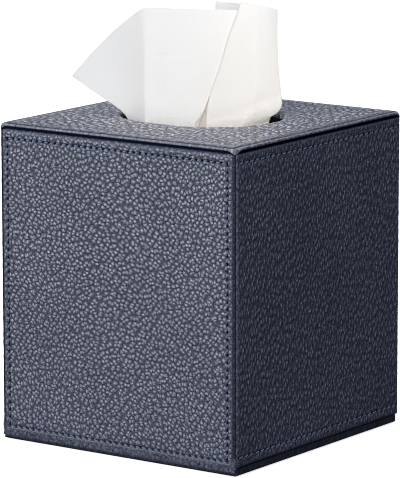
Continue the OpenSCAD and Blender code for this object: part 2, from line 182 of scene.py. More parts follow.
def leather(name, crown, crease, bump, gloss, across, tall, wander, uneven, modelled=True):
    """PU-coated leather embossed with a pebble grain. The eye sees pale, slightly shiny crowns and dark matt creases;
    the crowns' pale colour is a painted highlight, and fine pores break up the shine. bump is the relief in mm that
    is left to the shader, gloss the roughness of crowns and creases, and the rest is the grain, as pebbles() takes
    it. A modelled panel carries its own plane, grain strength, its pits and painted shade, and how strongly the
    creases' dye and the crowns' painted highlight show."""
    material, tree = new_material(name)
    if modelled:
        place = add(tree, "ShaderNodeAttribute", attribute_name="skin").outputs["Vector"]
        strength = add(tree, "ShaderNodeAttribute", attribute_name="grain").outputs["Fac"]
        pits_and_painted_shade = add(tree, "ShaderNodeAttribute", attribute_name="pits_and_painted_shade").outputs["Fac"]
        dye_and_painted_highlight = add(tree, "ShaderNodeAttribute", attribute_name="dye_and_painted_highlight").outputs["Fac"]
    else:
        place = add(tree, "ShaderNodeTexCoord").outputs["Object"]
        strength, pits_and_painted_shade, dye_and_painted_highlight = 1.0, 0.0, 1.0
    height = pebbles(tree, place, across, tall, wander, uneven)
    shown = add(tree, "ShaderNodeMix", {FACTOR: strength, NUMBER_A: PLAIN_SKIN, NUMBER_B: height},
                data_type="FLOAT")
    tinted = add(tree, "ShaderNodeMix", {FACTOR: dye_and_painted_highlight, NUMBER_A: EVEN_TONE, NUMBER_B: shown}, data_type="FLOAT")
    shade = add(tree, "ShaderNodeMix", {FACTOR: tinted, COLOUR_A: linear(crease), COLOUR_B: linear(crown)},
                data_type="RGBA")
    # Dye takes a little unevenly over the panel
    tone = add(tree, "ShaderNodeTexNoise", {"Vector": place, "Scale": 1 / (38 * MM), "Detail": 3.0})
    taken = add(tree, "ShaderNodeMapRange", {0: tone, 1: 0.3, 2: 0.7, 3: 0.9, 4: 1.1})
    # Fine wrinkles hold the dark dye. At under a millimetre they are drawn as coarse as a pixel can show
    wrinkles = add(tree, "ShaderNodeTexNoise", {"Vector": place, "Scale": 1 / (0.8 * MM), "Detail": 1.0})
    worn = add(tree, "ShaderNodeMapRange", {0: wrinkles, 1: 0.3, 2: 0.65, 3: 0.2, 4: 1.45})
    dyed = add(tree, "ShaderNodeMath", {0: taken, 1: worn}, operation="MULTIPLY")
    toned = add(tree, "ShaderNodeVectorMath", {0: shade.outputs[MIXED_COLOUR], "Scale": dyed}, operation="SCALE")
    # Needle holes, pressed lines and edges are painted dark as painted shade in the holes, creases and gaps, and
    # don't shine
    with_painted_shade = add(tree, "ShaderNodeMix", {FACTOR: pits_and_painted_shade, COLOUR_A: toned, COLOUR_B: linear("#0a1226")}, data_type="RGBA")
    # Pores are finer than a pixel shows, so they too are drawn at about one
    pores = add(tree, "ShaderNodeTexNoise", {"Vector": place, "Scale": 1 / (0.55 * MM), "Detail": 2.0})
    rough = add(tree, "ShaderNodeMapRange", {0: shown, 1: 0.1, 2: 0.9, 3: gloss[1], 4: gloss[0]})
    relief = add(tree, "ShaderNodeMath", {0: pores, 1: 0.03, 2: shown}, operation="MULTIPLY_ADD")
    bumped = add(tree, "ShaderNodeBump", {"Height": relief, "Strength": 1.0, "Distance": bump * MM})
    shine = add(tree, "ShaderNodeMath", {0: pits_and_painted_shade, 1: -0.5, 2: 0.5}, operation="MULTIPLY_ADD")
    shader = add(tree, "ShaderNodeBsdfPrincipled", {"Base Color": with_painted_shade.outputs[MIXED_COLOUR], "Roughness": rough,
                                                    "Normal": bumped, "IOR": 1.5, "Specular IOR Level": shine})
    add(tree, "ShaderNodeOutputMaterial", {"Surface": shader})
    return material


def speckled(name, pale, dark, grain_mm, rough, bump=0.0, stretch=(1, 1, 1), metallic=0.0, sheen=0.0,
             through=0, painted_glow=0.0):
    """A finish with a fine speckle or streak: fibreboard, suede cloth, softwood, nickel plating, thread or paper.
    grain_mm is the speckle's size and stretch draws it out. Light spreads through it for about the mm given by
    through, and painted_glow is a painted glow of its own, which lifts bleached paper as the light scattered through
    it would."""
    material, tree = new_material(name)
    place = add(tree, "ShaderNodeTexCoord").outputs["Object"]
    drawn = add(tree, "ShaderNodeVectorMath", {0: place, 1: stretch}, operation="MULTIPLY")
    fleck = add(tree, "ShaderNodeTexNoise", {"Vector": drawn, "Scale": 1 / (grain_mm * MM), "Detail": 4.0})
    spread = add(tree, "ShaderNodeMapRange", {0: fleck, 1: 0.3, 2: 0.7})
    shade = add(tree, "ShaderNodeMix", {FACTOR: spread, COLOUR_A: linear(dark), COLOUR_B: linear(pale)},
                data_type="RGBA")
    matt = add(tree, "ShaderNodeMapRange", {0: fleck, 1: 0.3, 2: 0.7, 3: min(1.0, rough + 0.08), 4: rough - 0.08})
    bumped = add(tree, "ShaderNodeBump", {"Height": fleck, "Strength": 1.0, "Distance": bump * MM})
    shader = add(tree, "ShaderNodeBsdfPrincipled", {"Base Color": shade.outputs[MIXED_COLOUR], "Roughness": matt,
                                                    "Normal": bumped, "Metallic": metallic, "Sheen Weight": sheen,
                                                    "Subsurface Weight": 1.0 if through else 0.0,
                                                    "Subsurface Radius": (1, 1, 1),
                                                    "Subsurface Scale": through * MM,
                                                    "Emission Color": linear("#fffdfa"), "Emission Strength": painted_glow})
    add(tree, "ShaderNodeOutputMaterial", {"Surface": shader})
    return material


# ---------------------------------------------------------------- meshes

def new_piece(name, points, faces, material, body, smooth_below=40, attributes=None):
    """A mesh piece from points in mm, riding on its body."""
    mesh = bpy.data.meshes.new(name)
    mesh.from_pydata((np.asarray(points, float) * MM).tolist(), [], faces)
    for key, values in (attributes or {}).items():
        values = np.asarray(values, np.float32)
        vector = values.ndim == 2
        layer = mesh.attributes.new(key, "FLOAT_VECTOR" if vector else "FLOAT", "POINT")
        layer.data.foreach_set("vector" if vector else "value", values.ravel())
    mesh.shade_smooth()
    mesh.set_sharp_from_angle(angle=math.radians(smooth_below))
    mesh.materials.append(material)
    piece = bpy.data.objects.new(name, mesh)
    bpy.context.scene.collection.objects.link(piece)
    if body:
        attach(piece, body)
    return piece


def grid_faces(rows, columns, start=0, close_rows=False, close_columns=False):
    """Quads between the points of a grid that is stored row by row."""
    i, j = np.meshgrid(np.arange(rows if close_rows else rows - 1),
                       np.arange(columns if close_columns else columns - 1), indexing="ij")
    i2, j2 = (i + 1) % rows, (j + 1) % columns
    quads = np.stack([i * columns + j, i * columns + j2, i2 * columns + j2, i2 * columns + j], -1).reshape(-1, 4)
    return (quads + start).tolist()


def grid_rim(rows, columns):
    """The grid's outer points, once round it."""
    return ([*range(columns)] + [i * columns + columns - 1 for i in range(1, rows)]
            + [(rows - 1) * columns + j for j in range(columns - 2, -1, -1)]
            + [i * columns for i in range(rows - 2, 0, -1)])


def bake_relief(piece, across, tall, wander, uneven, depth):
    """Presses the pebble grain into a panel's mesh, from the same pattern as its material has."""
    tree = bpy.data.node_groups.new("press_" + piece.name, "GeometryNodeTree")
    tree.interface.new_socket("Geometry", in_out="INPUT", socket_type="NodeSocketGeometry")
    tree.interface.new_socket("Geometry", in_out="OUTPUT", socket_type="NodeSocketGeometry")
    panel = add(tree, "NodeGroupInput")
    place = add(tree, "GeometryNodeInputNamedAttribute", {"Name": "skin"}, data_type="FLOAT_VECTOR")
    strength = add(tree, "GeometryNodeInputNamedAttribute", {"Name": "grain"}, data_type="FLOAT")
    height = pebbles(tree, place.outputs[0], across, tall, wander, uneven)
    level = add(tree, "ShaderNodeMath", {0: height, 1: PRESS_PLANE}, operation="SUBTRACT")
    pressed = add(tree, "ShaderNodeMath", {0: level, 1: depth * MM}, operation="MULTIPLY")
    kept = add(tree, "ShaderNodeMath", {0: pressed, 1: strength}, operation="MULTIPLY")
    normal = add(tree, "GeometryNodeInputNormal")
    offset = add(tree, "ShaderNodeVectorMath", {0: normal, "Scale": kept}, operation="SCALE")
    moved = add(tree, "GeometryNodeSetPosition", {"Geometry": panel, "Offset": offset})
    add(tree, "NodeGroupOutput", {0: moved})
    press = piece.modifiers.new("press", "NODES")
    press.node_group = tree
    bpy.context.view_layer.update()
    pressed_mesh = bpy.data.meshes.new_from_object(piece.evaluated_get(bpy.context.evaluated_depsgraph_get()))
    piece.modifiers.clear()
    old, piece.data = piece.data, pressed_mesh
    bpy.data.meshes.remove(old)
    bpy.data.node_groups.remove(tree)


def spaced(low, high, step, through=0.0, fine=(), fine_step=0.25, fine_reach=0.9):
    """Places from low to high about a step apart, one of them at through, and closer near the fine ones."""
    first = math.ceil((low - through) / step)
    values = [through + i * step for i in range(first, math.floor((high - through) / step) + 1)]
    near = [c + k * fine_step for c in fine
            for k in range(-round(fine_reach / fine_step), round(fine_reach / fine_step) + 1)]
    values = [v for v in values if all(abs(v - n) > 0.5 * fine_step for n in near)] + near + [low, high]
    values = sorted(v for v in values if low <= v <= high)
    kept = [values[0]]
    for v in values[1:]:
        if v - kept[-1] > 0.1:
            kept.append(v)
    kept[-1] = high
    return np.array(kept)


# ---------------------------------------------------------------- the walls

class Wall:
    """One wall's sizes, in its own frame: x along it, y inward from its face, z up. turn is its angle round the
    cover, low_r its lower edge's radius, low_row its lower row's height, and step how fine its mesh is."""

    def __init__(self, name, turn, low_r, low_row, step):
        self.name, self.turn, self.low_r, self.step = name, turn, low_r, step
        self.broad = turn % 180 == 0
        self.width = COVER_W if self.broad else COVER_D
        self.reach = (COVER_D if self.broad else COVER_W) / 2
        self.edge_r = BROAD_EDGE_R if self.broad else SIDE_EDGE_R
        self.pitch = BROAD_PITCH if self.broad else SIDE_PITCH
        self.row_x = self.width / 2 - (UPRIGHT_ROW_INSET if self.broad else END_SETBACK + SIDE_EDGE_R)
        self.row_z = (WALL_Z0 + low_row, WALL_Z1 - UPPER_ROW_INSET)
        self.end = self.width / 2 - END_SETBACK

    def rows(self):
        """Rows of stitches: the place of each stitch in it, along and up, and whether it stands upright."""
        def centred(length):
            count = math.floor(round(length / self.pitch, 6))
            return [(i - (count - 1) / 2) * self.pitch for i in range(count)]

        low, high = self.row_z
        return ([[(x, z, False) for x in centred(2 * self.row_x)] for z in self.row_z]
                + [[(x, (low + high) / 2 + z, True) for z in centred(high - low)]
                   for x in ((-self.row_x, self.row_x) if self.broad else ())])

    def placed(self, points):
        """Points from the wall's frame to the cover's."""
        a = math.radians(self.turn)
        x, y, z = np.asarray(points, float).T
        y = y - self.reach
        return np.stack([x * math.cos(a) - y * math.sin(a), x * math.sin(a) + y * math.cos(a), z], 1)


WALLS = [Wall("front", turn=0, low_r=0, low_row=2.6, step=0.48),
         Wall("right", turn=90, low_r=1.4, low_row=4.5, step=0.48),
         Wall("rear", turn=180, low_r=1.4, low_row=4.5, step=0.6),
         Wall("left", turn=270, low_r=1.4, low_row=4.5, step=0.6)]


def plan_profile(wall):
    """The wall's outline in plan, from seam to seam: places along it and depths inward."""
    mitre = math.sqrt(2) * SEAM_GAP / 2
    r, end = wall.edge_r, wall.end
    meet = math.acos((END_SETBACK - mitre) / r / math.sqrt(2)) - math.pi / 4
    arc = np.linspace(meet, math.pi / 2, max(4, round(r * 1.3 / 0.4)))
    xs = [wall.width / 2 - mitre - WALL_T, *(end - r + r * np.cos(arc))]
    ys = [WALL_T, *(r - r * np.sin(arc))]
    seam = np.linspace(0, 1, 6)[1:-1]
    xs[1:1] = list(xs[0] + (xs[1] - xs[0]) * seam)
    ys[1:1] = list(ys[0] + (ys[1] - ys[0]) * seam)
    hole = wall.rows()[0][0][0] - wall.pitch / 2
    face = spaced(-(end - r), end - r, wall.pitch / round(wall.pitch / wall.step), hole,
                  [-wall.row_x, wall.row_x] if wall.broad else [])[1:-1]
    return (np.array([-x for x in xs] + list(face) + xs[::-1]), np.array(ys + [0] * len(face) + ys[::-1]))


def height_profile(wall, low_z):
    """The same for the wall's section: heights and depths, from the bottom up."""
    r = wall.edge_r
    zs, ys = [], []
    if wall.low_r:
        arc = np.linspace(0, math.pi / 2, 5)
        zs = [low_z, *(low_z + wall.low_r * (1 - np.cos(arc)))]
        ys = [WALL_T, *(wall.low_r * (1 - np.sin(arc)))]
    face_low = low_z + wall.low_r
    hole = [row for row in wall.rows() if row[0][2]]
    through = hole[0][0][1] - wall.pitch / 2 if hole else wall.row_z[0]
    step = BROAD_PITCH / round(BROAD_PITCH / wall.step)
    face = spaced(face_low, WALL_Z1 - r, step, through, wall.row_z)
    face = face[1:-1] if wall.low_r else face[:-1]
    zs += list(face)
    ys += [0] * len(face)
    arc = np.linspace(0, math.pi / 2, 7)
    zs += list(WALL_Z1 - r + r * np.sin(arc)) + [WALL_Z1]
    ys += list(r - r * np.cos(arc)) + [WALL_T]
    return np.array(zs), np.array(ys)


def run_length(a, b):
    """Distance along a profile, measured from its middle."""
    s = np.concatenate([[0], np.cumsum(np.hypot(np.diff(a), np.diff(b)))])
    return s - s[-1] / 2


def wall_marks(wall, x, z):
    """What sewing, pulling and pressing left in a wall's face: furrows under the thread, pits at the needle holes,
    and how strong the grain still is. The pits, and the pressed line beside a broad wall's seams, are also painted
    dark as painted shade. Each is 0 to 1, over the places x and z."""
    furrow, pits_and_painted_shade = np.zeros(x.shape), np.zeros(x.shape)
    for row in wall.rows():
        upright = row[0][2]
        along, across = (z, x) if upright else (x, z)
        line = row[0][0] if upright else row[0][1]
        first, last = ((row[0][1], row[-1][1]) if upright else (row[0][0], row[-1][0]))
        first, last = first - wall.pitch / 2, last + wall.pitch / 2
        inside = np.clip(np.minimum(along - first, last - along) / 0.6 + 1, 0, 1)
        furrow = np.maximum(furrow, inside * np.exp(-((across - line) / 0.75) ** 2))
        hole = (along - first + wall.pitch / 2) % wall.pitch - wall.pitch / 2
        hole = np.where((along < first - 0.7) | (along > last + 0.7), 9, hole)
        # A pit's size along the row and across it. On the broad walls the thread has drawn the holes long
        wide, high = (1.05, 0.62) if wall.broad else (0.62, 0.62)
        # The holes of the lower row are partly filled by its thread
        depth = 0.85 if not upright and line < COVER_H / 2 else 1
        pits_and_painted_shade = np.maximum(pits_and_painted_shade, depth * np.clip(1.6 - 1.15 * np.hypot(hole / wide, (across - line) / high), 0, 1))
    if wall.broad:
        # A line is pressed beside the seam, and it is painted dark as painted shade in that crease
        pressed = np.exp(-((np.abs(x) - wall.row_x - 2.8) / 0.45) ** 2)
        furrow, pits_and_painted_shade = np.maximum(furrow, pressed), np.maximum(pits_and_painted_shade, 0.6 * pressed)
    # Round the edges the leather is pulled tight over the board
    from_edge = np.minimum(wall.end - np.abs(x), np.minimum(WALL_Z1 - z, z - WALL_Z0))
    edge = np.clip((from_edge - 0.8) / 2.2, 0, 1)
    grain = (0.35 + 0.65 * edge * edge * (3 - 2 * edge)) * (1 - 0.45 * furrow) * (1 - pits_and_painted_shade)
    if wall.broad:
        # The pull round the bottom edge leaves the grain a little flatter low down
        grain *= 0.78 + 0.22 * np.clip((z - 15) / 85, 0, 1)
    if wall.turn == 0:
        # The strip that joins the flap on has pulled the front wall's foot smooth
        grain *= np.clip(0.45 + (z - wall.row_z[0]) / 2.5, 0.45, 1)
    return furrow, pits_and_painted_shade, grain


def model_wall(wall, material):
    """A wall's leather: a skin over its board, turned in round the edges, with its grain pressed in, a furrow
    under each row of stitches and a pit at each needle hole."""
    xs, dx = plan_profile(wall)
    zs, dz = height_profile(wall, HINGE_Z1 if wall.turn == 0 else WALL_Z0)
    x, z = np.meshgrid(xs, zs)
    y = np.maximum(dx[None, :], dz[:, None])
    limit = wall.width / 2 - math.sqrt(2) * SEAM_GAP / 2 - y
    # The turned-in top edge is painted dark where it goes under the lid, as painted shade for the gap there
    painted = np.clip((z - 142.1) / 0.6, 0, 1)
    # and so are the edges that turn into the corner seams, as painted shade in the seams' grooves
    painted = np.maximum(painted, np.clip((dx / wall.edge_r - 0.35) / 0.3, 0, 0.9)[None, :])
    x = np.clip(x, -limit, limit)
    furrow, pits_and_painted_shade, grain = wall_marks(wall, x, z)
    # Only the flat face is drawn in, not the edges that turn away from it
    flat = np.where(y < 0.02, 1.0, 0.0)
    y = y + flat * (FURROW_DEPTH * furrow + HOLE_DEPTH * pits_and_painted_shade)

    rows, columns = x.shape
    points = np.stack([x.ravel(), y.ravel(), z.ravel()], 1)
    count = len(points)
    rim = grid_rim(rows, columns)
    inner = points[rim].copy()
    inner[:, 0] = np.clip(inner[:, 0], -(wall.end - WALL_T), wall.end - WALL_T)
    inner[:, 2] = np.clip(inner[:, 2], zs[0] + (LEATHER_T if wall.low_r else 0), WALL_Z1 - LEATHER_T)
    deep = inner.copy()
    inner[:, 1], deep[:, 1] = WALL_T, LEATHER_T
    all_points = np.concatenate([points, inner, deep])
    n = len(rim)
    faces = grid_faces(rows, columns)
    for k in range(n):
        a, b = k, (k + 1) % n
        faces.append([rim[b], rim[a], count + a, count + b])
        faces.append([count + b, count + a, count + n + a, count + n + b])
    faces.append([count + n + k for k in range(n)][::-1])
    pad = np.zeros(2 * n)
    # The leather's own plane. Each wall's piece is cut from another part of the hide, and the side walls' are cut
    # with their rows of pebbles upright, and pulled long
    u, v = np.meshgrid(run_length(xs, dx), run_length(zs, dz) + 80)
    skin = np.stack([u.ravel(), v.ravel()] if wall.broad else [v.ravel() * 0.55, u.ravel() * 1.15], 1)
    skin = np.column_stack([skin + wall.turn * 3, np.zeros(count)]) * MM
    skin = np.concatenate([skin, np.tile(skin[rim], (2, 1))])
    # The side walls show less of the creases' dye and of the crowns' painted highlight, as the light only grazes them
    piece = new_piece(wall.name + "_panel", wall.placed(all_points), faces, material, "root",
                      attributes={"skin": skin, "grain": np.concatenate([grain.ravel(), pad]),
                                  "pits_and_painted_shade": np.concatenate([np.maximum(pits_and_painted_shade, painted).ravel(), pad]),
                                  "dye_and_painted_highlight": np.full(len(all_points), 1.0 if wall.broad else 0.3)})
    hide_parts(wall.name + "_leather")
    return piece


# ---------------------------------------------------------------- stitches

def model_stitches(wall, material):
    """Each stitch is a short thread that dips into a needle hole at either end and lies a little askew."""
    visible = 1.95 if wall.broad else 2.7
    along = np.linspace(-1, 1, 7)
    turn = np.linspace(0, 2 * math.pi, 6, endpoint=False)
    thick = 0.27 * (1 - 0.35 * np.abs(along) ** 3)
    rise = 0.17 - 0.12 * along ** 2 - 0.38 * np.abs(along) ** 5
    points, faces = [], []
    for row in wall.rows():
        # The thread of a broad wall's lowest row crosses it more steeply
        slanted = wall.broad and not row[0][2] and row[0][1] < COVER_H / 2
        for x, z, upright in row:
            a = along * visible / 2
            side = (-0.42 if slanted else 0.2) * along
            ring_side = side[:, None] + thick[:, None] * np.cos(turn)
            ring_out = rise[:, None] + thick[:, None] * np.sin(turn)
            ring_along = np.repeat(a[:, None], len(turn), 1)
            depth = FURROW_DEPTH - ring_out
            local = (np.stack([x + ring_side, depth, z + ring_along], -1) if upright
                     else np.stack([x + ring_along, depth, z + ring_side], -1))
            start = len(points) * local.shape[0] * local.shape[1]
            points.append(local.reshape(-1, 3))
            faces += grid_faces(len(along), len(turn), start, close_columns=True)
            faces += [[start + k for k in range(len(turn))],
                      [start + (len(along) - 1) * len(turn) + k for k in range(len(turn))][::-1]]
    piece = new_piece(wall.name + "_stitches", wall.placed(np.concatenate(points)), faces, material, "root",
                      smooth_below=60)
    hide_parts(wall.name + "_stitching")
    return piece


# ---------------------------------------------------------------- the lid

def lid_line(inset):
    """The lid's outline in plan, so far inside its edge. Every inset gives as many points, in the same order."""
    w, d = COVER_W / 2 - inset, COVER_D / 2 - inset
    r = max(LID_CORNER_R - inset, 0.4)
    points = []
    for quarter, (sx, sy) in enumerate(((-1, -1), (1, -1), (1, 1), (-1, 1))):
        a = math.pi + quarter * math.pi / 2 + np.linspace(0, math.pi / 2, 9)
        points.append(np.stack([sx * (w - r) + r * np.cos(a), sy * (d - r) + r * np.sin(a)], 1))
        side = np.linspace(-1, 1, 214)[1:-1]
        if quarter % 2 == 0:
            points.append(np.stack([side * (w - r) * (1 if quarter == 0 else -1), np.full(len(side), sy * d)], 1))
        else:
            points.append(np.stack([np.full(len(side), sx * w), side * (d - r) * (1 if quarter == 1 else -1)], 1))
    return np.concatenate(points)


def opening_line(towards, beyond):
    """The opening's outline, grown by beyond, met by the rays from the middle through the points of towards."""
    a = np.arctan2(towards[:, 1], towards[:, 0])
    r, e = OPENING_D / 2 + beyond, (OPENING_W - OPENING_D) / 2
    c, s = np.abs(np.cos(a)), np.abs(np.sin(a))
    reach = np.where(c * r <= e * s, r / np.maximum(s, 1e-6), e * c + np.sqrt(np.maximum(r * r - (e * s) ** 2, 0)))
    return np.stack([reach * np.cos(a), reach * np.sin(a)], 1)


# The rings of the lid's rim: inset at the front and rear, inset at the sides, height, how much of the corners' droop
# it takes, strength of the grain, and how dark it is painted. The turned-under edge is painted dark as painted shade
# for the gap under the lid, and the crease is painted as a dark line of painted shade along the front
LID_RIM = [(0.75, 0.75, 142.88, 0.6, 0, 1), (0.62, 0.62, 142.9, 0.8, 0, 1), (0.6, 0.6, 143.4, 0.9, 0, 1),
           (0.56, 0.56, 143.74, 1, 0, 1), (0.4, 0.4, 143.84, 1, 0, 1), (0.16, 0.16, 143.92, 1, 0, 0.5),
           (0.03, 0.03, 144.12, 1, 0.05, 0), (0, 0, 144.4, 1, 0.1, 0), (0.08, 0.08, 144.64, 0.85, 0.15, 0),
           (0.26, 0.3, 144.86, 0.6, 0.15, 0), (0.48, 0.8, 144.98, 0.35, 0.15, 0), (0.75, 1.5, 145.0, 0.1, 0.15, 0),
           (1.0, 2.2, 144.9, 0, 0.1, 0.3), (1.3, 2.6, 144.77, 0, 0, 0.9), (1.7, 2.9, 144.75, 0, 0, 1),
           (2.1, 3.2, 144.9, 0, 0, 0.8), (2.5, 3.5, 145.14, 0, 0.1, 0.25), (3.0, 4.0, 145.32, 0, 0.15, 0),
           (3.8, 4.8, 145.44, 0, 0.3, 0), (5.0, 6.0, 145.5, 0, 0.6, 0), (6.5, 7.5, 145.57, 0, 0.9, 0)]
# The rings of its roll into the opening: how far beyond the opening's edge, and height
LID_ROLL = [(8, 145.9), (6.5, 145.92), (5.2, 145.95), (4.1, 146.0), (3.2, 146.06), (2.5, 146.1), (1.9, 146.1),
            (1.35, 146.02), (0.9, 145.84), (0.5, 145.5), (0.22, 145.0), (0.06, 144.4), (0.04, 143.8), (0.25, 143.4),
            (0.7, 143.12), (1.3, 143.05), (1.9, 143.15)]


def model_lid(material):
    """The lid's leather: a rolled rim, a crease pressed just inside it, a flat top and a soft roll down into the
    opening. At each corner the turned-in leather bunches and hangs a little lower."""
    edge = lid_line(0)
    count = len(edge)
    # 1 along the sides, 0 along the front and rear, and a smooth change at the corners
    side = np.where(np.abs(edge[:, 0]) / COVER_W > np.abs(edge[:, 1]) / COVER_D, 1.0, 0.0)
    smooth = np.ones(13) / 13
    side = np.convolve(np.concatenate([side[-6:], side, side[:6]]), smooth, "valid")
    corner = np.hypot(COVER_W / 2 - 0.73 - np.abs(edge[:, 0]), COVER_D / 2 - 0.73 - np.abs(edge[:, 1]))
    droop = 1.7 * np.exp(-(corner / 2.1) ** 2)
    rings, heights, grains, dark = [], [], [], []

    def lay(ring, height, strength, darkness=0.0):
        """Adds a ring of points, with the strength of its grain and how dark it is."""
        for kept, value in ((rings, ring), (heights, height), (grains, strength), (dark, darkness)):
            kept.append(value if np.ndim(value) else np.full(count, value))

    # Along the sides the painted shade is lighter from the rim's outermost ring up
    for front_in, side_in, z, share, strength, darkness in LID_RIM:
        lay(lid_line(front_in) * (1 - side[:, None]) + lid_line(side_in) * side[:, None], z - share * droop, strength,
            darkness * (1 - 0.4 * side * (z > 144.3)))
    first, last = rings[-1], opening_line(rings[-1], LID_ROLL[0][0])
    for s in np.linspace(0, 1, 46)[1:-1]:
        # The flat top rises a little to the roll, and a band of it is painted darker towards the front and rear rim,
        # as painted shade
        lay(first + (last - first) * s, 145.57 + 0.33 * s, 1.0, 0.24 * (1 - s) ** 1.5 * (1 - 0.85 * side))
    for beyond, z in LID_ROLL:
        lay(opening_line(first, beyond), z, 0.75)
    # The back of the skin, along the board
    for beyond, z in ((3.1, 143.3), (3.15, LID_BOARD_Z1)):
        lay(opening_line(first, beyond), z, 0.0)
    lay(lid_line(LEATHER_T + 0.05), LID_BOARD_Z1, 0.0)
    points = np.column_stack([np.concatenate(rings), np.concatenate(heights)])
    faces = grid_faces(len(rings), count, close_rows=True, close_columns=True)
    # The photograph shows the lid nearly edge on. Grain as fine as the walls' would blur to nothing there, so it is
    # drawn coarser, most of all from front to rear
    skin = points * (0.76, 0.45, 0) * MM
    piece = new_piece("lid_skin", points, faces, material, "root", smooth_below=50,
                      attributes={"skin": skin, "grain": np.concatenate(grains),
                                  "pits_and_painted_shade": np.concatenate(dark), "dye_and_painted_highlight": np.ones(len(points))})
    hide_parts("lid_leather")
    return piece


# ---------------------------------------------------------------- the hinge

def model_hinge(material):
    """One strip of leather that joins the front wall to the flap. Above the fold it runs round both front corners and
    reaches up over the seam. Below it stops short of them, so that the flap can swing."""
    # Its path round a front corner, from the side wall to the front wall's face, and the short end below the fold
    corner = np.array([(65.15, -62.6), (65.17, -63.3), (65.1, -64.1), (64.75, -64.95), (64.1, -65.6), (63.3, -65.92),
                       (62.4, -66.03), (61.2, -66.04)])
    short = np.stack([np.interp(np.linspace(4, 7, len(corner)), np.arange(len(corner)), corner[:, i])
                      for i in (0, 1)], 1)
    face = np.linspace(-60.5, 60.5, 60)
    face = np.stack([face, np.full(len(face), corner[-1, 1])], 1)
    outline, outline_low = (np.concatenate([end * (-1, 1), face, end[::-1]]) for end in (corner, short))
    ear = np.clip((np.abs(outline[:, 0]) - 62.2) / 1.4, 0, 1)
    low, top = 1.7, HINGE_Z1 + 0.1 + 2.8 * ear * ear * (3 - 2 * ear)
    turned = np.clip((np.abs(outline[:, 0]) - 62.5) / 2.6, 0, 1)
    inward = np.array([-np.sign(outline[:, 0]) * turned, np.ones(len(outline))]).T
    inward /= np.linalg.norm(inward, axis=1)[:, None]

    def line_at(share, depth):
        """The strip's line of points at a share of its height, so deep behind its face."""
        z = low + (top - low) * share
        tuck = 0.06 * (share > 0.93) + 0.12 * (share < 0.05)
        above_fold = np.clip((z[:, None] - 3.5) / 0.8, 0, 1)
        return np.column_stack([outline * above_fold + outline_low * (1 - above_fold) + inward * (depth + tuck), z])

    shares = (1, 0.86, 0.72, 0.6, 0.5, 0.42, 0.34, 0.24, 0.12, 0)
    points = np.concatenate([line_at(share, 0) for share in shares] + [line_at(share, 0.5) for share in shares[::-1]])
    rows, columns = 2 * len(shares), len(outline)
    faces = grid_faces(rows, columns, close_rows=True)
    faces.append([i * columns for i in range(rows)])
    faces.append([i * columns + columns - 1 for i in range(rows)][::-1])
    # The whole strip is painted a little dark, as painted shade where it turns under towards the floor
    piece = new_piece("hinge_strip", points, faces, material, None, smooth_below=50,
                      attributes={"skin": np.column_stack([points[:, 0], points[:, 2], points[:, 1]]) * MM,
                                  "grain": np.full(len(points), 0.3), "pits_and_painted_shade": np.full(len(points), 0.26),
                                  "dye_and_painted_highlight": np.ones(len(points))})
    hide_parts("hinge_leather")
    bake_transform(piece)
    return piece


# ---------------------------------------------------------------- the tissues

# The raised sheet's fold lines, in mm from the middle of the opening: how far across the picture each lies at the
# heights ALONG (0 in the opening, 1 at its upper end), how far behind at the opening and at the top, its height as
# a share of the rise, and how far the panel up to the next line swells.
ALONG = (-0.3, -0.12, -0.04, 0.04, 0.12, 0.25, 0.45, 0.7, 1.0)
FOLDS = [((-26.0, -31.0, -33.8, -35.4, -36.6, -39.6, -44.6, -51.2, -59.0), (-0.7, 8), 0.33, -1.2),
         ((-25.4, -25.4, -25.4, -25.4, -25.4, -25.4, -25.3, -25.5, -25.8), (-8.5, -7), 0.96, 1.0),
         ((-4.3, -4.3, -2.5, 0.2, 1.7, 4.05, 7.75, 11.55, 17.25), (-7.2, -7.25), 0.935, 0.0),
         ((-1.2, -1.2, -0.2, 1.4, 2.4, 4.25, 7.9, 11.7, 17.4), (-7.6, -7.5), 0.95, 0.0),
         ((1.8, 1.8, 2.0, 2.4, 3.1, 4.45, 8.05, 11.85, 17.55), (-7.95, -7.75), 1.01, 0.4),
         ((14.9, 16.9, 20.4, 22.5, 23.5, 24.0, 24.2, 24.5, 25.2), (-6.5, -6.5), 0.978, 0.8),
         ((20.8, 23.8, 30.8, 36.0, 36.3, 35.6, 34.6, 34.1, 34.2), (0.5, 0), 0.925, 0.4),
         ((30.3, 30.5, 31.5, 31.9, 32.0, 31.8, 31.2, 30.4, 29.5), (7, 7), 0.90, 0.4),
         ((17.4, 17.4, 17.4, 17.4, 17.3, 17.2, 17.1, 16.9, 16.7), (7.6, 9), 0.955, 0.3),
         ((1.5, 1.5, 1.5, 1.6, 2.1, 2.8, 3.9, 5.3, 6.4), (6.2, 8), 0.976, 0.0)]
# The fourth line is the bottom of a pocket that opens towards the lip, between the middle and right panels
POCKET_LINE, POCKET_DEPTH = 3, (12, 12, 10, 7, 4, 0, 0, 0, 0)
SHEET_TURN, SHEET_RISE = 36, 52.5
LIP_RISE = 0.8


def sheet_line(number, share):
    """Where a fold line lies at a share of its height: -1 at the stack, 0 in the opening, 1 at its upper end."""
    across, (behind_low, behind_top), high, _ = FOLDS[number]
    waist = COVER_H + LIP_RISE
    # The mean of a few shares rounds off the line's corners
    near = np.clip(share + np.linspace(-0.04, 0.04, 5), -1, 1)
    # Below the opening the sheet narrows
    x = np.interp(near, ALONG, across).mean() * min(1, 1 + 0.3 * (share + 0.3))
    y = (behind_low + max(share, 0) * (behind_top - behind_low) - 2.2 * math.sin(math.pi * max(share, 0))
         + (np.interp(near, ALONG, POCKET_DEPTH).mean() if number == POCKET_LINE else 0))
    return x, y, waist + (share * (waist - STACK_Z1) if share < 0 else share * (high * SHEET_RISE - LIP_RISE))


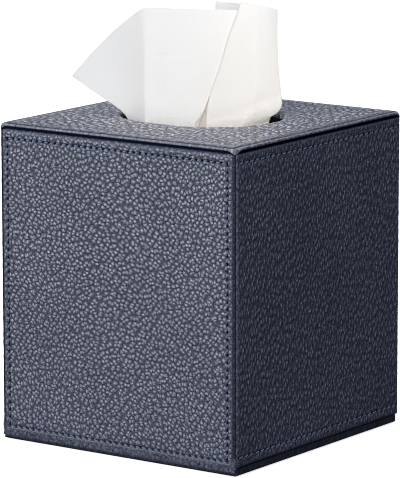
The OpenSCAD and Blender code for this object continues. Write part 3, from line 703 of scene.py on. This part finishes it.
def model_sheet(material):
    """The raised tissue: one thin folded sheet, drawn up through the opening, with soft panels between its folds."""
    per_panel = 20
    shares = np.concatenate([np.linspace(-1, -0.15, 14)[:-1], np.linspace(-0.15, 0.2, 30)[:-1],
                             np.linspace(0.2, 1, 50)])
    lines = np.array([[sheet_line(n, s) for n in range(len(FOLDS))] for s in shares])
    place = np.linspace(0, len(FOLDS) - 1, per_panel * (len(FOLDS) - 1) + 1)
    k = np.minimum(place.astype(int), len(FOLDS) - 2)
    # Closer together near the fold lines, which stay crisp
    f = 0.5 * (place - k) + 0.25 * (1 - np.cos(math.pi * (place - k)))
    flat = lines[:, k] * (1 - f)[None, :, None] + lines[:, k + 1] * f[None, :, None]
    chord = (lines[:, k + 1] - lines[:, k])[:, :, :2]
    out = np.stack([chord[..., 1], -chord[..., 0]], -1)
    out /= np.maximum(np.linalg.norm(out, axis=-1, keepdims=True), 1e-6)
    swell = np.array([fold[3] for fold in FOLDS])[k] * np.sin(np.pi * f)
    above = np.clip(0.35 + shares, 0, 1)
    flat[..., :2] += out * (swell[None, :] * above[:, None])[..., None]
    # The free edge between the left tip and the first fold bows upward
    bow = np.where(k == 0, 2.9 * np.sin(np.pi * f) ** 0.8, 0)
    flat[..., 2] += bow[None, :] * np.clip(shares, 0, 1)[:, None] ** 2
    # A faint crease across the middle panel, from the way the sheet lay folded in its stack
    crease = np.exp(-((shares - 0.57) / 0.012) ** 2)[:, None] * np.where(k == 1, np.sin(math.pi * f) ** 0.5, 0)[None]
    # and a shallow valley running up the right panel, which reaches over the fifth to the seventh line, to its edge
    along = np.clip((place - 4) / 2, 0, 1)
    valley = (np.exp(-((shares[:, None] - (0.27 * along[None] - 0.04)) / 0.05) ** 2) * np.sin(math.pi * along) ** 0.5)
    flat[..., 1] += 0.16 * crease + 0.9 * valley
    # Folds have a small radius
    for _ in range(2):
        flat[:, 1:-1] = 0.25 * flat[:, :-2] + 0.5 * flat[:, 1:-1] + 0.25 * flat[:, 2:]
    a = math.radians(SHEET_TURN)
    middle = np.stack([flat[..., 0] * math.cos(a) - flat[..., 1] * math.sin(a),
                       flat[..., 0] * math.sin(a) + flat[..., 1] * math.cos(a), flat[..., 2]], -1)
    normal = np.cross(np.gradient(middle, axis=1), np.gradient(middle, axis=0))
    normal /= np.maximum(np.linalg.norm(normal, axis=-1, keepdims=True), 1e-9)
    # Drawn 0.3 mm thick, which is enough for its edges to show
    half = 0.15
    front, back = middle + normal * half, middle - normal * half
    rows, columns = middle.shape[:2]
    count = rows * columns
    points = np.concatenate([front.reshape(-1, 3), back.reshape(-1, 3)])
    faces = grid_faces(rows, columns) + [quad[::-1] for quad in grid_faces(rows, columns, start=count)]
    rim = grid_rim(rows, columns)
    faces += [[after, here, here + count, after + count] for here, after in zip(rim, rim[1:] + rim[:1])]
    piece = new_piece("raised_tissue", points, faces, material, "root", smooth_below=70)
    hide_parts("tissue_sheet")
    return piece


def model_stack(material):
    """The stack of interfolded tissues: soft-edged layers, each a little in or out of line with the next."""
    low, high = (np.array(corner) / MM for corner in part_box("tissue_pack"))
    w, d = (high - low)[:2] / 2
    layer = 1.55
    count = round((high[2] - low[2]) / layer)
    rng = np.random.default_rng(7)
    shift = np.cumsum(rng.normal(0, 0.05, (count, 2)), 0)
    shift -= shift.mean(0)
    a = np.linspace(0, math.pi / 2, 6)
    rings = []
    for i in range(count):
        for part, inset in ((0.0, 0.75), (0.12, 0.45), (0.35, 0.32), (0.65, 0.32), (0.88, 0.45), (1.0, 0.75)):
            z = low[2] + (high[2] - low[2]) * (i + part) / count - (0.0 if part < 1 else 0.02)
            r, hw, hd = 3.0, w - inset, d - inset
            ring = [np.stack([sx * (hw - r) + r * np.cos(math.pi + q * math.pi / 2 + a),
                              sy * (hd - r) + r * np.sin(math.pi + q * math.pi / 2 + a)], 1)
                    for q, (sx, sy) in enumerate(((-1, -1), (1, -1), (1, 1), (-1, 1)))]
            ring = np.concatenate(ring) + np.clip(shift[i], -0.25, 0.25)
            rings.append(np.column_stack([ring, np.full(len(ring), z)]))
    columns = len(rings[0])
    points = np.concatenate(rings)
    faces = grid_faces(len(rings), columns, close_columns=True)
    faces += [list(range(columns))[::-1], [(len(rings) - 1) * columns + k for k in range(columns)]]
    piece = new_piece("tissue_stack", points, faces, material, "root", smooth_below=40)
    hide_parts("tissue_pack")
    return piece


# ---------------------------------------------------------------- the scene

set_camera()
leather_lights = [add_light("key_softbox", 14, 24, 1100, (300, 300), 28),
                  add_light("left_softbox", -34, 16, 1100, (310, 310), 14.5)]
add_light("top_softbox", -60, 76, 1500, (700, 700), 5.7)
add_light("back_panel", 215, 8, 1500, (3000, 680), 0.5)
world = bpy.data.worlds.new("studio")
world.use_nodes = True
world.node_tree.nodes.clear()
# A pale blue room, darker towards the floor
sky = add(world.node_tree, "ShaderNodeTexCoord")
rise = add(world.node_tree, "ShaderNodeSeparateXYZ", {0: sky.outputs["Generated"]})
lit = add(world.node_tree, "ShaderNodeMapRange", {0: rise.outputs["Z"], 1: -0.15, 2: 0.7, 3: 0.08, 4: 0.45},
          interpolation_type="SMOOTHSTEP")
air = add(world.node_tree, "ShaderNodeBackground", {"Color": linear("#d6e1ff"), "Strength": lit})
add(world.node_tree, "ShaderNodeOutputWorld", {"Surface": air})
bpy.context.scene.world = world
bpy.context.scene.view_settings.view_transform = "Standard"
# A sharp lens: the grain's small lights and darks stay apart
bpy.context.scene.cycles.filter_width = 1.0

# The pebbles' pitch is measured in the photograph
GRAIN = dict(across=2.2, tall=2.0, wander=1.8, uneven=0.22)
# Navy coated leather: the eye sees grey-blue, softly shining pebbles with dark blue dye between them. The
# crowns' grey-blue is a painted highlight on the navy
wall_leather = leather("pebbled_pu_leather", "#989cab", "#060a28", bump=0.35, gloss=(0.27, 0.5), **GRAIN)
for wall in WALLS:
    panel = model_wall(wall, wall_leather)
    bake_relief(panel, depth=0.2 if wall.broad else 0.36, **GRAIN)

# Its thread is a lighter, brighter blue with a soft sheen, so that the eye follows the rows
thread = speckled("polyester_thread", "#7088a6", "#4a5d78", 0.2, 0.6, 0.03, sheen=0.3)
for wall in WALLS:
    model_stitches(wall, thread)
# The lid's leather shines more, seen nearly edge on with the light behind it, and its paler crowns are a painted
# sheen
lid_leather = leather("pebbled_pu_leather_lid_painted_sheen", "#c8c8d5", "#030718", bump=0.46, gloss=(0.16, 0.4), **GRAIN)
bake_relief(model_lid(lid_leather), depth=0.26, **GRAIN)
model_hinge(wall_leather)
# Bleached tissue: warm white, matt, a little translucent where it folds, and with a faint painted glow
paper = speckled("facial_tissue", "#f3eae0", "#efe6dc", 0.3, 0.95, 0.01, through=2.5, painted_glow=0.05)
model_stack(paper)
sheet = model_sheet(paper)
# White paper under the leather's lights would be far too bright, so the raised tissue has a softer one of its own
sheet_light = add_light("tissue_softbox", 42, 20, 1500, (1200, 1200), 7.6, colour=(0.985, 0.99, 0.96))
for light in leather_lights + [sheet_light]:
    lit_by = bpy.data.collections.new("lit_by_" + light.name)
    lit_by.objects.link(sheet)
    light.light_linking.receiver_collection = lit_by
    lit_by.collection_objects[0].light_linking.link_state = "INCLUDE" if light == sheet_light else "EXCLUDE"

# What hardly shows keeps its solids: the flap's leather with a shallow grain, brown matt fibreboard with dark flecks,
# black suede with a soft sheen, pale softwood with long streaks, and bright nickel on the magnets
plain = leather("pebbled_pu_leather_flap", "#3f4454", "#1b1e2c", bump=0.1, gloss=(0.42, 0.62),
                across=2.65, tall=2.25, wander=2.6, uneven=0.45, modelled=False)
board = speckled("fibreboard", "#b9925f", "#8d6a41", 0.4, 0.85, 0.02)
suede = speckled("suede_cloth", "#17181c", "#0c0d10", 0.25, 0.9, 0.03, sheen=0.3)
softwood = speckled("softwood", "#d3ac74", "#a97f4c", 0.7, 0.7, 0.03, stretch=(1, 1, 0.15))
nickel = speckled("nickel_plating", "#c9c8c4", "#b2b1ad", 0.3, 0.25, metallic=1.0)
for name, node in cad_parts.items():
    look = (thread if "stitching" in name else suede if "lining" in name else board if "board" in name
            else nickel if "magnets" in name else softwood if "blocks" in name else paper if "tissue" in name
            else plain)
    node.data.materials.clear()
    node.data.materials.append(look)

# A white paper sweep. It glows, so that the ground is plain white, but throws no light back at the cover
floor_look, tree = new_material("white_paper_sweep")
add(tree, "ShaderNodeOutputMaterial", {"Surface": add(tree, "ShaderNodeBsdfPrincipled", {
    "Base Color": linear("#ffffff"), "Roughness": 0.9, "Emission Color": (1, 1, 1, 1), "Emission Strength": 0.75})})
bpy.ops.mesh.primitive_circle_add(vertices=128, radius=6, fill_type="NGON", location=(0, 0, -0.0005))
floor = bpy.context.object
floor.name = "floor"
floor.data.materials.append(floor_look)
floor.visible_diffuse = floor.visible_glossy = False
